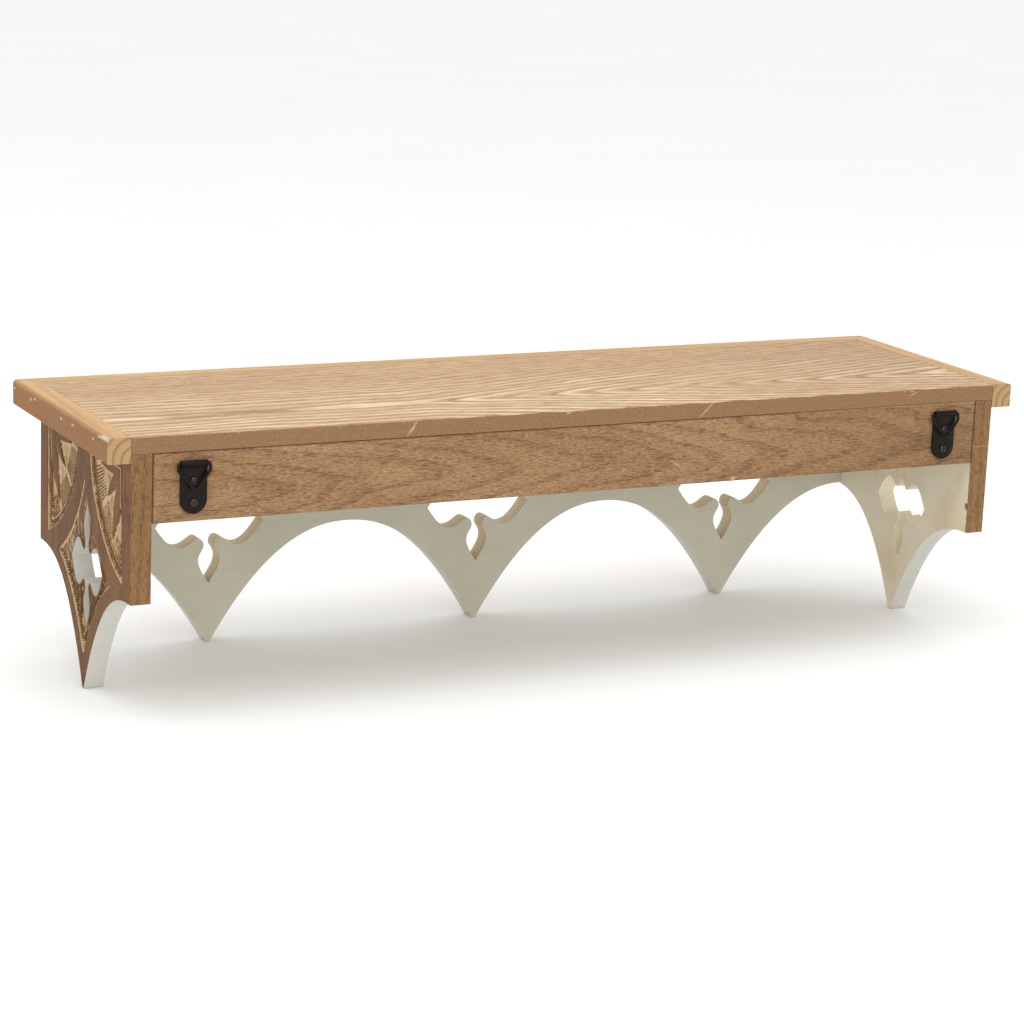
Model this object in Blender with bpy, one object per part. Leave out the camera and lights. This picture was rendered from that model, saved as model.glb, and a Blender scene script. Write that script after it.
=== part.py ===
# Wall shelf with two carved brackets, an arched front apron, a back rail and two ring hangers.
#
# Metres, +Z up. The origin is the centre of the top board's wall edge: +Y points into the wall,
# the front of the shelf faces -Y, and left and right are as seen from the front (-X and +X).

import math

import bmesh
import bpy
from mathutils import Vector

# Room that touching pieces keep between them
GAP = 0.0003

# Top board and the solid-wood trim round its front and ends
BOARD_LENGTH = 0.872
BOARD_DEPTH = 0.2455
BOARD_THICKNESS = 0.015
BOARD_EDGE_ROUND = 0.0005
TRIM_WIDTH = 0.0212
TRIM_HEIGHT = 0.0225
TRIM_CORNER_RADIUS = 0.006
TRIM_CORNER_STEPS = 6
TRIM_TOP_ROUND = 0.003
TRIM_BOTTOM_ROUND = 0.0015

# Brackets and apron, cut from one thickness of wood; drops are below the shelf's top face
PANEL_THICKNESS = 0.0185
EDGE_DROP = 0.146
TIP_DROP = 0.254
BRACKET_ARCH_POWER = 2.6
BRACKET_TIP_FLAT = 0.003
APRON_ARCH_POWER = 2.15
APRON_TIP_FLAT = 0.0035
APRON_BAYS = 3
ARCH_STEPS = 14

# Leaf-cross openings: one in each bracket, and one over each tip of the apron
OPENING_DROP = 0.140
BRACKET_OPENING_WIDTH_SCALE = 0.77
BRACKET_OPENING_SETBACK = 0.1148
OPENING_STEPS = 4

# Back rail
RAIL_DROP = 0.076
RAIL_THICKNESS = 0.016

# Ring hangers: a steel strap folded over the straight bar of a triangular ring
HANGER_INSET = 0.055
STRAP_WIDTH = 0.024
STRAP_LENGTH = 0.047
STRAP_THICKNESS = 0.001
STRAP_TOP_DROP = 0.022
STRAP_JOGGLE = 0.0052
FOLD_STEPS = 10
RING_WIRE_RADIUS = 0.0014
RING_BAR_CLEARANCE = 0.00035
RING_TILT = math.radians(11)
RING_HALF_WIDTH = 0.0143
RING_SHOULDER_DROP = 0.0065
RING_APEX_DROP = 0.0240
RING_BAR_CORNER_RADIUS = 0.0020
RING_SHOULDER_RADIUS = 0.0035
RING_APEX_RADIUS = 0.0030
RING_CORNER_STEPS = 5
HANGER_SCREW_DROPS = {"upper": 0.018, "lower": 0.037}
HANGER_SCREW_LENGTH = 0.014
HANGER_SCREW_RADIUS = 0.00175
HANGER_SCREW_HEAD_RADIUS = 0.0036
HANGER_SCREW_HEAD_HEIGHT = 0.0018
HANGER_SCREW_SEGMENTS = 16
STRAP_FOOT_STEPS = 16

# Dowels and trim nails
DOWEL_RADIUS = 0.004
DOWEL_LENGTH = 0.023
TOP_DOWEL_RADIUS = 0.003
TOP_DOWEL_LENGTH = 0.020
TOP_DOWEL_IN_BOARD = 0.008
DOWEL_CHAMFER = 0.001
DOWEL_SEGMENTS = 12
RAIL_DOWEL_DROPS = {"upper": 0.030, "lower": 0.062}
APRON_DOWEL_DROPS = {"upper": 0.051, "lower": 0.116}
TOP_DOWEL_SPREAD = 0.6
BRACKET_DOWEL_PLACES = {"rear": 0.25, "front": 0.75}
NAIL_RADIUS = 0.0008
NAIL_HEAD_RADIUS = 0.0013
NAIL_HEAD_HEIGHT = 0.001
NAIL_LENGTH = 0.034
NAIL_SINK = 0.0015
NAIL_SEGMENTS = 8
FRONT_NAILS = 4
SIDE_NAIL_PLACES = (0.15, 0.5, 0.85)

# Places that follow from the sizes above
TOP_Z = BOARD_THICKNESS / 2
PANEL_TOP_Z = TOP_Z - BOARD_THICKNESS - GAP
RAIL_BOTTOM_Z = TOP_Z - RAIL_DROP
BRACKET_X = BOARD_LENGTH / 2 - PANEL_THICKNESS / 2
INNER_X = BOARD_LENGTH / 2 - PANEL_THICKNESS - GAP
APRON_Y = -(BOARD_DEPTH - PANEL_THICKNESS / 2)
RAIL_Y = -RAIL_THICKNESS / 2
ARCH_RISE = TIP_DROP - EDGE_DROP
HANGER_X = BOARD_LENGTH / 2 - HANGER_INSET
FOLD_INNER_RADIUS = RING_WIRE_RADIUS + RING_BAR_CLEARANCE
FOLD_OUTER_RADIUS = FOLD_INNER_RADIUS + STRAP_THICKNESS
STRAP_TOP_Z = TOP_Z - STRAP_TOP_DROP
BAR_Y = GAP + FOLD_OUTER_RADIUS
BAR_Z = STRAP_TOP_Z - FOLD_OUTER_RADIUS
STRAP_FACE_Y = 2 * (GAP + STRAP_THICKNESS)

# Wood and metal colours, with roughness and metallic value
HONEY_PINE = ((0.62, 0.42, 0.23), 0.55, 0.0)
LIMED_OAK = ((0.68, 0.51, 0.34), 0.6, 0.0)
BROWN_STAIN = ((0.30, 0.19, 0.11), 0.6, 0.0)
CREAM_PAINT = ((0.60, 0.58, 0.50), 0.5, 0.0)
BEECH = ((0.66, 0.49, 0.32), 0.7, 0.0)
BLACK_STEEL = ((0.02, 0.02, 0.022), 0.4, 0.6)
BRIGHT_STEEL = ((0.55, 0.55, 0.56), 0.35, 1.0)

# Which way each side lies, as seen from the front
SIDES = {"left": -1, "right": 1}

# A face lying in local XY, turned upright: facing the room, a side, or seen in profile
FACING_FRONT = (math.pi / 2, 0, 0)
FACING_SIDE = (math.pi / 2, 0, -math.pi / 2)
IN_PROFILE = (math.pi / 2, 0, math.pi / 2)
# A turned piece, whose axis is local Z, laid along X or along Y
ALONG_X = (0, math.pi / 2, 0)
ALONG_Y = (-math.pi / 2, 0, 0)
UPRIGHT = (0, 0, 0)


def clear_scene():
    for item in list(bpy.data.objects):
        bpy.data.objects.remove(item)


def add_object(name, mesh, finish, place=(0, 0, 0), turn=UPRIGHT):
    part = bpy.data.objects.new(name, mesh)
    part.location = place
    part.rotation_euler = turn
    bpy.context.scene.collection.objects.link(part)
    colour, roughness, metallic = finish
    material = bpy.data.materials.new(name + "_finish")
    material.use_nodes = True
    shader = material.node_tree.nodes["Principled BSDF"]
    shader.inputs["Base Color"].default_value = (*colour, 1)
    shader.inputs["Roughness"].default_value = roughness
    shader.inputs["Metallic"].default_value = metallic
    part.data.materials.append(material)
    return part


def add_cutter(name, mesh, place, turn=UPRIGHT):
    cutter = bpy.data.objects.new(name, mesh)
    cutter.location = place
    cutter.rotation_euler = turn
    cutter.hide_render = True
    cutter.display_type = "WIRE"
    bpy.context.scene.collection.objects.link(cutter)
    return cutter


def cut(part, cutter, operation="DIFFERENCE"):
    boolean = part.modifiers.new(cutter.name, "BOOLEAN")
    boolean.operation = operation
    boolean.object = cutter


def finish_mesh(bm, name):
    bmesh.ops.recalc_face_normals(bm, faces=bm.faces)
    mesh = bpy.data.meshes.new(name)
    bm.to_mesh(mesh)
    bm.free()
    return mesh


def box_mesh(name, size, edge_round):
    bm = bmesh.new()
    bmesh.ops.create_cube(bm, size=1)
    bmesh.ops.scale(bm, vec=size, verts=bm.verts)
    bmesh.ops.bevel(bm, geom=bm.edges, offset=edge_round, segments=2, profile=0.5, affect="EDGES")
    return finish_mesh(bm, name)


def turned_mesh(name, profile, segments):
    """Turns (radius, height) points about Z; the first and last points lie on the axis."""
    bm = bmesh.new()
    verts = [bm.verts.new((radius, 0, height)) for radius, height in profile]
    edges = [bm.edges.new(pair) for pair in zip(verts, verts[1:])]
    bmesh.ops.spin(
        bm, geom=verts + edges, axis=(0, 0, 1), cent=(0, 0, 0), steps=segments, angle=2 * math.pi
    )
    bmesh.ops.remove_doubles(bm, verts=bm.verts, dist=1e-6)
    mesh = finish_mesh(bm, name)
    mesh.shade_smooth()
    mesh.set_sharp_from_angle(angle=math.radians(35))
    return mesh


def panel_mesh(name, outline, openings, thickness):
    """A flat panel in local XY, centred on it: a closed outline with Bezier loops cut through."""
    curve = bpy.data.curves.new(name, "CURVE")
    curve.dimensions = "2D"
    curve.fill_mode = "BOTH"
    curve.extrude = thickness / 2
    border = curve.splines.new("POLY")
    border.points.add(len(outline) - 1)
    for point, (x, y) in zip(border.points, outline):
        point.co = (x, y, 0, 1)
    border.use_cyclic_u = True
    for opening in openings:
        loop = curve.splines.new("BEZIER")
        loop.bezier_points.add(len(opening) - 1)
        for point, (place, handle_in, handle_out) in zip(loop.bezier_points, opening):
            point.co = (*place, 0)
            point.handle_left = (*handle_in, 0)
            point.handle_right = (*handle_out, 0)
        loop.resolution_u = OPENING_STEPS
        loop.use_cyclic_u = True
    guide = bpy.data.objects.new(name + "_guide", curve)
    bpy.context.scene.collection.objects.link(guide)
    graph = bpy.context.evaluated_depsgraph_get()
    mesh = bpy.data.meshes.new_from_object(guide.evaluated_get(graph))
    bpy.data.objects.remove(guide)
    bm = bmesh.new()
    bm.from_mesh(mesh)
    bmesh.ops.remove_doubles(bm, verts=bm.verts, dist=1e-6)
    return finish_mesh(bm, name)


def leaf_cross(centre_x, centre_y, width_scale):
    """The loop of an opening with an upright leaf above and below and a broad lobe at each side."""
    # One quarter, from the pointed end of a lobe to the tip of a leaf: place, handle in, handle out
    quarter = [
        ((0.0536, 0.0000), (-0.0050, -0.0070), (-0.0050, 0.0070)),
        ((0.0289, 0.0214), (0.0110, 0.0000), (-0.0080, 0.0000)),
        ((0.0112, 0.0132), (0.0040, 0.0000), (-0.0032, 0.0000)),
        ((0.0054, 0.0205), (0.0000, -0.0045), (0.0000, 0.0035)),
        ((0.0107, 0.0340), (0.0000, -0.0060), (0.0000, 0.0080)),
        ((0.0000, 0.0569), (0.0035, -0.0060), (-0.0035, -0.0060)),
    ]
    loop = []
    for across, up, reverse in ((1, -1, False), (-1, -1, True), (-1, 1, False), (1, 1, True)):
        steps = quarter[:0:-1] if reverse else quarter[:-1]
        scale = Vector((across * width_scale, up))
        for place, handle_in, handle_out in steps:
            if reverse:
                handle_in, handle_out = handle_out, handle_in
            point = Vector(place) * scale + Vector((centre_x, centre_y))
            loop.append((point, point + Vector(handle_in) * scale, point + Vector(handle_out) * scale))
    return loop


def half_arch(start_x, end_x, power):
    """Points from an arch's crown at start_x down to the shoulder of a tip at end_x."""
    points = []
    for step in range(ARCH_STEPS + 1):
        along = step / ARCH_STEPS
        drop = EDGE_DROP + ARCH_RISE * along**power
        points.append((start_x + (end_x - start_x) * along, TOP_Z - drop))
    return points


def bracket_mesh():
    """Local X runs from the wall edge, at 0, to the front edge; local Y is height."""
    middle = BOARD_DEPTH / 2
    shoulder = middle - BRACKET_TIP_FLAT / 2
    outline = [(0, PANEL_TOP_Z)]
    outline += half_arch(0, shoulder, BRACKET_ARCH_POWER)
    outline += reversed(half_arch(BOARD_DEPTH, BOARD_DEPTH - shoulder, BRACKET_ARCH_POWER))
    outline.append((BOARD_DEPTH, PANEL_TOP_Z))
    opening = leaf_cross(BRACKET_OPENING_SETBACK, TOP_Z - OPENING_DROP, BRACKET_OPENING_WIDTH_SCALE)
    return panel_mesh("bracket", outline, [opening], PANEL_THICKNESS)


def apron_mesh():
    """Three bays side by side, each a hanging tip between two half arches."""
    bay = 2 * INNER_X / APRON_BAYS
    reach = bay / 2 - APRON_TIP_FLAT / 2
    outline = [(-INNER_X, PANEL_TOP_Z)]
    openings = []
    for index in range(APRON_BAYS):
        tip_x = -INNER_X + bay * (index + 0.5)
        falling = half_arch(tip_x - bay / 2, tip_x - bay / 2 + reach, APRON_ARCH_POWER)
        rising = half_arch(tip_x + bay / 2, tip_x + bay / 2 - reach, APRON_ARCH_POWER)[::-1]
        outline += falling if index == 0 else falling[1:]
        outline += rising
        openings.append(leaf_cross(tip_x, TOP_Z - OPENING_DROP, 1))
    outline.append((INNER_X, PANEL_TOP_Z))
    return panel_mesh("front_apron", outline, openings, PANEL_THICKNESS)


def trim_mesh(name, keep_front, side):
    """The trim is one U in plan, mitred apart at the front corners."""
    outer_x = BOARD_LENGTH / 2 + TRIM_WIDTH
    outer_y = -(BOARD_DEPTH + TRIM_WIDTH)
    inner_x = BOARD_LENGTH / 2 + GAP
    inner_y = -(BOARD_DEPTH + GAP)
    radius = TRIM_CORNER_RADIUS
    outline = [(inner_x, 0), (inner_x, inner_y), (-inner_x, inner_y), (-inner_x, 0), (-outer_x, 0)]
    for direction, first_angle in ((-1, math.pi), (1, 1.5 * math.pi)):
        for step in range(TRIM_CORNER_STEPS + 1):
            angle = first_angle + step / TRIM_CORNER_STEPS * math.pi / 2
            x = direction * (outer_x - radius) + radius * math.cos(angle)
            outline.append((x, outer_y + radius + radius * math.sin(angle)))
    outline.append((outer_x, 0))
    bm = bmesh.new()
    face = bm.faces.new([bm.verts.new((x, y, TOP_Z)) for x, y in outline])
    lowered = bmesh.ops.extrude_face_region(bm, geom=[face])["geom"]
    low_verts = [item for item in lowered if isinstance(item, bmesh.types.BMVert)]
    bmesh.ops.translate(bm, verts=low_verts, vec=(0, 0, -TRIM_HEIGHT))
    for height, edge_round in ((TOP_Z, TRIM_TOP_ROUND), (TOP_Z - TRIM_HEIGHT, TRIM_BOTTOM_ROUND)):
        edges = []
        for edge in bm.edges:
            level = all(abs(vert.co.z - height) < GAP for vert in edge.verts)
            middle = (edge.verts[0].co + edge.verts[1].co) / 2
            outside = abs(middle.x) > inner_x + TRIM_WIDTH / 2 or middle.y < inner_y - TRIM_WIDTH / 2
            if level and outside and middle.y < 0:
                edges.append(edge)
        bmesh.ops.bevel(bm, geom=edges, offset=edge_round, segments=3, profile=0.5, affect="EDGES")
    for direction in (-1, 1):
        if not keep_front and direction != side:
            continue
        corner = Vector((direction * BOARD_LENGTH / 2, -BOARD_DEPTH, 0))
        across = Vector((direction, 1, 0)).normalized()
        outward = across if keep_front else -across
        bmesh.ops.bisect_plane(
            bm,
            geom=bm.verts[:] + bm.edges[:] + bm.faces[:],
            plane_co=corner - outward * GAP / 2,
            plane_no=outward,
            clear_outer=True,
        )
        bmesh.ops.holes_fill(bm, edges=[edge for edge in bm.edges if edge.is_boundary])
    return finish_mesh(bm, name)


def add_boards():
    """The wooden boards, keyed by name, before any hole is cut."""
    boards = {}
    size = (BOARD_LENGTH, BOARD_DEPTH, BOARD_THICKNESS)
    place = (0, -BOARD_DEPTH / 2, TOP_Z - BOARD_THICKNESS / 2)
    mesh = box_mesh("top_board", size, BOARD_EDGE_ROUND)
    boards["top_board"] = add_object("top_board", mesh, LIMED_OAK, place)

    size = (2 * INNER_X, RAIL_THICKNESS, PANEL_TOP_Z - RAIL_BOTTOM_Z)
    place = (0, RAIL_Y, (PANEL_TOP_Z + RAIL_BOTTOM_Z) / 2)
    mesh = box_mesh("back_rail", size, BOARD_EDGE_ROUND)
    boards["back_rail"] = add_object("back_rail", mesh, BROWN_STAIN, place)

    mesh = apron_mesh()
    boards["front_apron"] = add_object("front_apron", mesh, CREAM_PAINT, (0, APRON_Y, 0), FACING_FRONT)
    mesh = trim_mesh("front_trim", True, 0)
    boards["front_trim"] = add_object("front_trim", mesh, HONEY_PINE)
    for side, sign in SIDES.items():
        name = side + "_bracket"
        place = (sign * BRACKET_X, 0, 0)
        boards[name] = add_object(name, bracket_mesh(), BROWN_STAIN, place, FACING_SIDE)
        name = side + "_trim"
        boards[name] = add_object(name, side_trim_mesh(name, sign), HONEY_PINE)
    return boards


def side_trim_mesh(name, sign):
    """One arm of the U: everything on the far side of its mitre, cut off from the other arm."""
    return trim_mesh(name, False, sign)


def dowel_profile(radius, length, chamfer):
    half = length / 2
    return [
        (0, half),
        (radius - chamfer, half),
        (radius, half - chamfer),
        (radius, chamfer - half),
        (radius - chamfer, -half),
        (0, -half),
    ]


def add_dowel(name, radius, length, place, turn, boards):
    mesh = turned_mesh(name, dowel_profile(radius, length, DOWEL_CHAMFER), DOWEL_SEGMENTS)
    add_object(name, mesh, BEECH, place, turn)
    profile = dowel_profile(radius + GAP, length + 2 * GAP, DOWEL_CHAMFER)
    hole = add_cutter(name + "_hole", turned_mesh(name + "_hole", profile, DOWEL_SEGMENTS), place, turn)
    for board in boards:
        cut(board, hole)


def add_dowels(boards):
    joint_x = INNER_X + GAP / 2
    end_joints = {
        "rail": ("back_rail", RAIL_Y, RAIL_DOWEL_DROPS),
        "apron": ("front_apron", APRON_Y, APRON_DOWEL_DROPS),
    }
    for joint, (board, y, drops) in end_joints.items():
        for side, sign in SIDES.items():
            for level, drop in drops.items():
                name = f"{joint}_dowel_{side}_{level}"
                joined = [boards[board], boards[side + "_bracket"]]
                place = (sign * joint_x, y, TOP_Z - drop)
                add_dowel(name, DOWEL_RADIUS, DOWEL_LENGTH, place, ALONG_X, joined)

    upright_z = PANEL_TOP_Z + TOP_DOWEL_IN_BOARD - TOP_DOWEL_LENGTH / 2
    upright = {}
    for side, sign in SIDES.items():
        for end, along in BRACKET_DOWEL_PLACES.items():
            place = (sign * BRACKET_X, -BOARD_DEPTH * along)
            upright[f"bracket_dowel_{side}_{end}"] = (side + "_bracket", place)
    for board, y in (("back_rail", RAIL_Y), ("front_apron", APRON_Y)):
        for spot, way in (("left", -1), ("middle", 0), ("right", 1)):
            place = (way * INNER_X * TOP_DOWEL_SPREAD, y)
            upright[f"{board}_top_dowel_{spot}"] = (board, place)
    for name, (board, place) in upright.items():
        joined = [boards["top_board"], boards[board]]
        add_dowel(name, TOP_DOWEL_RADIUS, TOP_DOWEL_LENGTH, (*place, upright_z), UPRIGHT, joined)


def add_nail(name, place, turn, boards):
    """A finishing nail: place is where its head lies, below the trim's face, and it runs along -Z."""
    head = NAIL_HEAD_RADIUS
    length = NAIL_LENGTH
    profile = [(0, 0), (head, 0), (head, -NAIL_HEAD_HEIGHT), (NAIL_RADIUS, -NAIL_HEAD_HEIGHT)]
    profile += [(NAIL_RADIUS, 3 * NAIL_RADIUS - length), (0, -length)]
    add_object(name, turned_mesh(name, profile, NAIL_SEGMENTS), BRIGHT_STEEL, place, turn)
    head += GAP
    shank = NAIL_RADIUS + GAP
    length += 2 * GAP
    below_head = -NAIL_HEAD_HEIGHT - GAP
    profile = [(0, 2 * NAIL_SINK), (head, 2 * NAIL_SINK), (head, below_head), (shank, below_head)]
    profile += [(shank, 3 * NAIL_RADIUS - length), (0, -length)]
    hole = add_cutter(name + "_hole", turned_mesh(name + "_hole", profile, NAIL_SEGMENTS), place, turn)
    for board in boards:
        cut(board, hole)


def add_nails(boards):
    nail_z = TOP_Z - BOARD_THICKNESS / 2
    top_board = boards["top_board"]
    nail_y = -(BOARD_DEPTH + TRIM_WIDTH) + NAIL_SINK
    joined = [boards["front_trim"], top_board]
    for index in range(FRONT_NAILS):
        x = BOARD_LENGTH * ((index + 0.5) / FRONT_NAILS - 0.5)
        add_nail(f"front_trim_nail_{index + 1}", (x, nail_y, nail_z), FACING_FRONT, joined)
    for side, sign in SIDES.items():
        for index, along in enumerate(SIDE_NAIL_PLACES):
            x = sign * (BOARD_LENGTH / 2 + TRIM_WIDTH - NAIL_SINK)
            place = (x, -BOARD_DEPTH * along, nail_z)
            turn = (0, sign * math.pi / 2, 0)
            add_nail(f"{side}_trim_nail_{index + 1}", place, turn, [boards[side + "_trim"], top_board])


def eased_fall(start_y, end_y, top_z, depth):
    """Points of an S from start_y to end_y, leaving and arriving upright."""
    points = []
    for step in range(1, FOLD_STEPS):
        along = step / FOLD_STEPS
        y = end_y + (start_y - end_y) * (1 + math.cos(math.pi * along)) / 2
        points.append((y, top_z - depth * along))
    return points


def fold_arc(radius):
    """Over the ring's bar, from its room side to its wall side."""
    angles = [math.pi * step / FOLD_STEPS for step in range(FOLD_STEPS + 1)]
    return [(BAR_Y + radius * math.cos(angle), BAR_Z + radius * math.sin(angle)) for angle in angles]


def strap_mesh():
    """The folded strap in profile: local X is depth from the wall face of the rail, local Y height."""
    foot_z = STRAP_TOP_Z - STRAP_LENGTH
    inner_face_y = STRAP_FACE_Y - STRAP_THICKNESS
    closed_z = BAR_Z - STRAP_JOGGLE
    outline = [(STRAP_FACE_Y, foot_z), (STRAP_FACE_Y, closed_z)]
    outline += eased_fall(BAR_Y + FOLD_OUTER_RADIUS, STRAP_FACE_Y, BAR_Z, STRAP_JOGGLE)[::-1]
    outline += fold_arc(FOLD_OUTER_RADIUS)
    outline += [(GAP, foot_z), (GAP + STRAP_THICKNESS, foot_z)]
    outline += fold_arc(FOLD_INNER_RADIUS)[::-1]
    outline += eased_fall(BAR_Y + FOLD_INNER_RADIUS, inner_face_y, BAR_Z, STRAP_JOGGLE)
    outline += [(inner_face_y, closed_z), (inner_face_y, foot_z)]
    return panel_mesh("hanger_strap", outline, [], STRAP_WIDTH * 1.2)


def strap_blank_mesh():
    """The strap's shape seen from the wall: straight sides and a half-round foot."""
    half = STRAP_WIDTH / 2
    round_z = STRAP_TOP_Z - STRAP_LENGTH + half
    outline = [(half, STRAP_TOP_Z + half), (-half, STRAP_TOP_Z + half)]
    for step in range(STRAP_FOOT_STEPS + 1):
        angle = math.pi * (1 + step / STRAP_FOOT_STEPS)
        outline.append((half * math.cos(angle), round_z + half * math.sin(angle)))
    return panel_mesh("hanger_strap_blank", outline, [], STRAP_WIDTH)


def rounded_corner(before, corner, after, radius, steps):
    """Points of the arc that rounds a corner of a path in local XZ."""
    to_before = (before - corner).normalized()
    to_after = (after - corner).normalized()
    half_angle = to_before.angle(to_after) / 2
    centre = corner + (to_before + to_after).normalized() * radius / math.sin(half_angle)
    start = corner + to_before * radius / math.tan(half_angle) - centre
    end = corner + to_after * radius / math.tan(half_angle) - centre
    return [centre + start.slerp(end, step / steps) * radius for step in range(steps + 1)]


def ring_curve():
    """A triangle of round wire with upright shoulders: its bar lies on local X, its apex hangs down."""
    half = RING_HALF_WIDTH
    corners = [
        (Vector((-half, 0)), RING_BAR_CORNER_RADIUS),
        (Vector((half, 0)), RING_BAR_CORNER_RADIUS),
        (Vector((half, -RING_SHOULDER_DROP)), RING_SHOULDER_RADIUS),
        (Vector((0, -RING_APEX_DROP)), RING_APEX_RADIUS),
        (Vector((-half, -RING_SHOULDER_DROP)), RING_SHOULDER_RADIUS),
    ]
    path = []
    for index, (corner, radius) in enumerate(corners):
        before = corners[index - 1][0]
        after = corners[(index + 1) % len(corners)][0]
        path += rounded_corner(before, corner, after, radius, RING_CORNER_STEPS)
    curve = bpy.data.curves.new("hanger_ring", "CURVE")
    curve.dimensions = "3D"
    curve.bevel_depth = RING_WIRE_RADIUS
    curve.bevel_resolution = 2
    spline = curve.splines.new("POLY")
    spline.points.add(len(path) - 1)
    for point, place in zip(spline.points, path):
        point.co = (place.x, 0, place.y, 1)
    spline.use_cyclic_u = True
    return curve


def screw_mesh():
    """A round-head screw along +Z, with the seat of its head at Z 0."""
    head = HANGER_SCREW_HEAD_RADIUS
    rise = HANGER_SCREW_HEAD_HEIGHT
    shank = HANGER_SCREW_RADIUS
    dome_steps = 5
    profile = []
    for step in range(dome_steps + 1):
        angle = math.pi / 2 * (1 - step / dome_steps)
        profile.append((head * math.cos(angle), rise * (0.25 + 0.75 * math.sin(angle))))
    profile[0] = (0, rise)
    profile += [(head, 0), (shank, 0), (shank, 2 * shank - HANGER_SCREW_LENGTH)]
    profile.append((0, -HANGER_SCREW_LENGTH))
    return turned_mesh("hanger_screw", profile, HANGER_SCREW_SEGMENTS)


def cross_recess_mesh():
    """A plus-shaped prism for the driver's recess, its arms narrower at their ends."""
    arm = HANGER_SCREW_HEAD_RADIUS * 0.6
    half_end = arm * 0.18
    half_root = arm * 0.24
    outline = []
    for cos, sin in ((1, 0), (0, 1), (-1, 0), (0, -1)):
        for x, y in ((arm, -half_end), (arm, half_end), (half_root, half_root)):
            outline.append((x * cos - y * sin, x * sin + y * cos))
    return panel_mesh("driver_recess", outline, [], HANGER_SCREW_HEAD_HEIGHT)


def add_hangers(boards):
    seat_y = STRAP_FACE_Y + GAP
    hole_profile = dowel_profile(HANGER_SCREW_RADIUS + GAP, 2 * HANGER_SCREW_LENGTH, GAP)
    for side, sign in SIDES.items():
        x = sign * HANGER_X
        strap_name = side + "_hanger_strap"
        strap = add_object(strap_name, strap_mesh(), BLACK_STEEL, (x, 0, 0), IN_PROFILE)
        blank = add_cutter(strap_name + "_blank", strap_blank_mesh(), (x, 0, 0), FACING_FRONT)
        cut(strap, blank, "INTERSECT")

        place = (x, BAR_Y, BAR_Z)
        add_object(side + "_hanger_ring", ring_curve(), BLACK_STEEL, place, (RING_TILT, 0, 0))

        for level, drop in HANGER_SCREW_DROPS.items():
            name = f"{side}_hanger_screw_{level}"
            place = (x, seat_y, STRAP_TOP_Z - drop)
            screw = add_object(name, screw_mesh(), BLACK_STEEL, place, ALONG_Y)
            recess_place = (x, seat_y + HANGER_SCREW_HEAD_HEIGHT, STRAP_TOP_Z - drop)
            cut(screw, add_cutter(name + "_recess", cross_recess_mesh(), recess_place, FACING_FRONT))
            hole_mesh = turned_mesh(name + "_hole", hole_profile, HANGER_SCREW_SEGMENTS)
            hole = add_cutter(name + "_hole", hole_mesh, place, ALONG_Y)
            cut(strap, hole)
            cut(boards["back_rail"], hole)


clear_scene()
all_boards = add_boards()
add_dowels(all_boards)
add_nails(all_boards)
add_hangers(all_boards)
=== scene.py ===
# Wall shelf with carved brackets: its woods, paint and iron, over the frame's own pieces.
# Metres, +Z up; the wall is at Y 0, and the front of the shelf faces -Y.
import math

import bpy
import numpy as np
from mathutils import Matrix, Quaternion, Vector


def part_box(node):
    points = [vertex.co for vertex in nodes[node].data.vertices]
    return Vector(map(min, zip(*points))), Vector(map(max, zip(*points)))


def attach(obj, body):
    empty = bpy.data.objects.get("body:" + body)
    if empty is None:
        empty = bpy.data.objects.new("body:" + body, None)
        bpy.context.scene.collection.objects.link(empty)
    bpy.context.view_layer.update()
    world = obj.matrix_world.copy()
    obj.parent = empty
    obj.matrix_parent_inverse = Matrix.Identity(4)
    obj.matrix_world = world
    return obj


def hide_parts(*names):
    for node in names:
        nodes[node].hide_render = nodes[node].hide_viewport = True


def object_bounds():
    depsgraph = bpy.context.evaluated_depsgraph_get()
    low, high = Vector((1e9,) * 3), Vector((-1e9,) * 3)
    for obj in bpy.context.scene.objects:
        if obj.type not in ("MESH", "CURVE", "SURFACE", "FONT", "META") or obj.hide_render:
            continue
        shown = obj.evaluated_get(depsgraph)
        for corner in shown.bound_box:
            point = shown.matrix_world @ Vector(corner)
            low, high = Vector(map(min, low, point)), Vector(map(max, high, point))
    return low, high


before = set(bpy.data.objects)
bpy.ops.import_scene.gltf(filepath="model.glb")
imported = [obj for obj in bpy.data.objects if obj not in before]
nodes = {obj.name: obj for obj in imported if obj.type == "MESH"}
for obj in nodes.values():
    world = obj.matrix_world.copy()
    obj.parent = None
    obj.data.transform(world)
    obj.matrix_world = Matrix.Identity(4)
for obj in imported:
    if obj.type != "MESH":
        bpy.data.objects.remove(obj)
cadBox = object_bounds()
sides = {"left": -1, "right": 1}
print("frame loaded:", len(nodes), "nodes")

boardLow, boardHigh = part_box("top_board")
topZ = boardHigh.z
boardDepth = boardHigh.y - boardLow.y
mm = 0.001


def deselectAll():
    if bpy.context.mode != "OBJECT":
        bpy.ops.object.mode_set(mode="OBJECT")
    bpy.ops.object.select_all(action="DESELECT")


def activate(piece):
    deselectAll()
    piece.select_set(True)
    bpy.context.view_layer.objects.active = piece


def applyModifier(piece, kind, **settings):
    activate(piece)
    modifier = piece.modifiers.new(kind.title(), kind)
    for setting, value in settings.items():
        setattr(modifier, setting, value)
    bpy.ops.object.modifier_apply(modifier=modifier.name)


def settle(piece):  # puts the object's place and turn into its mesh
    activate(piece)
    bpy.ops.object.transform_apply(location=True, rotation=True, scale=True)


def faceOutwards(piece):
    activate(piece)
    bpy.ops.object.mode_set(mode="EDIT")
    bpy.ops.mesh.select_all(action="SELECT")
    bpy.ops.mesh.remove_doubles(threshold=1e-6)
    bpy.ops.mesh.normals_make_consistent(inside=False)
    bpy.ops.object.mode_set(mode="OBJECT")


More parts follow.
